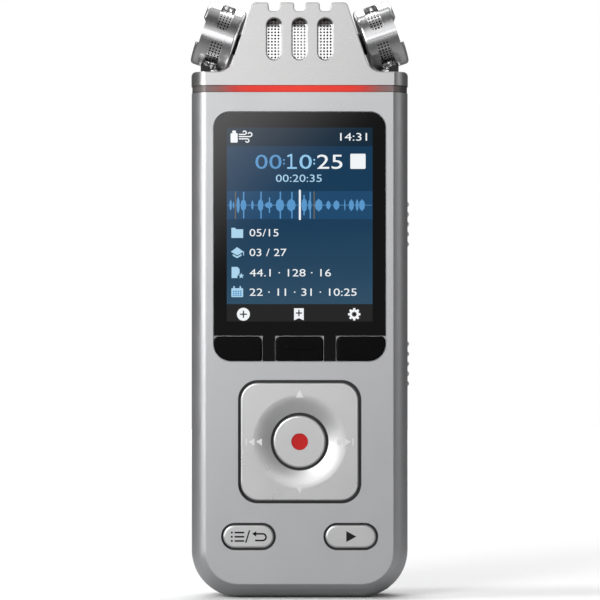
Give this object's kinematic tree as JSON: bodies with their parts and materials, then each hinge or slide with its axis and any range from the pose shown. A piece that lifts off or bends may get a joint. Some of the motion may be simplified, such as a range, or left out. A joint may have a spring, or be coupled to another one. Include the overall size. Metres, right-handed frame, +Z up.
{
  "type": "handheld voice recorder",
  "caption": "Slim handheld voice recorder with a colour display, four-way pad with a record button, and a slotted metal microphone head.",
  "frame": {"origin": "centre of the lowest edge, midway between front and rear faces", "axes": "+Z up along the length, front face towards -Y, +X to the right seen from the front"},
  "size_m": [0.0457, 0.0184, 0.1246],
  "materials": {
    "silver_paint": "satin metallic paint",
    "rear_paint": "satin metallic paint",
    "satin_chrome": "satin chrome plate",
    "bright_chrome": "polished",
    "mesh_metal": "bright perforated sheet",
    "smoked_guide": "smoked translucent, lit red",
    "window_black": "gloss",
    "key_black": "semi gloss",
    "key_silver": "satin metallic",
    "red_lens": "translucent red",
    "inner_black": "moulded",
    "black_rubber": "matte",
    "foam": "closed-cell foam",
    "display_glass": "lit display",
    "board_green": "solder mask",
    "chip_black": "moulded",
    "tin_plate": "tin plate",
    "cell_foil": "laminated foil",
    "amber_film": "polyimide film",
    "screw_steel": "blackened steel",
    "brass_insert": "turned",
    "connector_steel": "plated"
  },
  "bodies": {
    "case": {"front_housing": "silver_paint", "rear_housing": "rear_paint", "top_cap": "satin_chrome", "light_bar": "smoked_guide", "housing_screws": "screw_steel", "pcb_screws": "screw_steel", "cap_screws": "screw_steel", "led_board": "board_green", "indicator_leds": "red_lens", "mic_drum_left": "bright_chrome", "mic_drum_right": "bright_chrome", "mic_mesh_left": "mesh_metal", "mic_mesh_right": "mesh_metal", "mic_mesh_center": "mesh_metal", "mic_mount_left": "inner_black", "mic_mount_right": "inner_black", "mic_foot_left": "black_rubber", "mic_foot_right": "black_rubber", "mic_boot_left": "black_rubber", "mic_boot_right": "black_rubber", "mic_boot_center": "black_rubber", "mic_capsule_left": "tin_plate", "mic_capsule_right": "tin_plate", "mic_capsule_center": "tin_plate", "mic_flex": "amber_film", "display_window": "window_black", "display_gasket": "foam", "lcd_panel": "display_glass", "lcd_backlight": "inner_black", "lcd_flex": "amber_film", "keypad_rubber": "black_rubber", "dome_switches": "tin_plate", "main_pcb": "board_green", "main_chips": "chip_black", "shield_can": "tin_plate", "slide_switch": "chip_black", "volume_switches": "chip_black", "headphone_jack": "inner_black", "mic_jack": "inner_black", "usb_connector": "connector_steel", "chassis_frame": "inner_black", "battery_cell": "cell_foil", "battery_pad": "foam", "speaker": "inner_black", "speaker_gasket": "foam", "tripod_insert": "brass_insert"},
    "record_button": {"rec_button": "key_silver", "rec_dot": "red_lens"},
    "menu_button": {"menu_key": "key_silver"},
    "play_button": {"play_key": "key_silver"},
    "soft_key_left": {"fkey_left": "key_black"},
    "soft_key_middle": {"fkey_middle": "key_black"},
    "soft_key_right": {"fkey_right": "key_black"},
    "pad_gimbal": {"nav_gimbal": "inner_black"},
    "pad": {"nav_pad": "key_silver"},
    "slider": {"power_slider": "key_silver"},
    "rocker": {"volume_rocker": "key_silver"}
  },
  "joints": [
    {"name": "record_press", "type": "slide", "parent": "case", "child": "record_button", "axis": [0, 1, 0], "range_m": [0, 0.0004], "stiffness_N_per_m": 500},
    {"name": "menu_press", "type": "slide", "parent": "case", "child": "menu_button", "axis": [0, 1, 0], "range_m": [0, 0.0004], "stiffness_N_per_m": 500},
    {"name": "play_press", "type": "slide", "parent": "case", "child": "play_button", "axis": [0, 1, 0], "range_m": [0, 0.0004], "stiffness_N_per_m": 500},
    {"name": "soft_left_press", "type": "slide", "parent": "case", "child": "soft_key_left", "axis": [0, 1, 0], "range_m": [0, 0.0003], "stiffness_N_per_m": 500},
    {"name": "soft_middle_press", "type": "slide", "parent": "case", "child": "soft_key_middle", "axis": [0, 1, 0], "range_m": [0, 0.0003], "stiffness_N_per_m": 500},
    {"name": "soft_right_press", "type": "slide", "parent": "case", "child": "soft_key_right", "axis": [0, 1, 0], "range_m": [0, 0.0003], "stiffness_N_per_m": 500},
    {"name": "pad_tilt_up_down", "type": "hinge", "parent": "case", "child": "pad_gimbal", "pos_m": [0, -0.0055, 0.0326], "axis": [1, 0, 0], "range_deg": [-1.5, 1.5], "stiffness_Nm_per_rad": 0.5},
    {"name": "pad_tilt_left_right", "type": "hinge", "parent": "pad_gimbal", "child": "pad", "pos_m": [0, -0.0055, 0.0326], "axis": [0, 0, 1], "range_deg": [-1.5, 1.5], "stiffness_Nm_per_rad": 0.5},
    {"name": "power_slide", "type": "slide", "parent": "case", "child": "slider", "axis": [0, 0, 1], "range_m": [-0.0015, 0.0015]},
    {"name": "volume_rock", "type": "hinge", "parent": "case", "child": "rocker", "pos_m": [0.0203, 0, 0.0486], "axis": [0, 1, 0], "range_deg": [-3, 3], "stiffness_Nm_per_rad": 1}
  ]
}
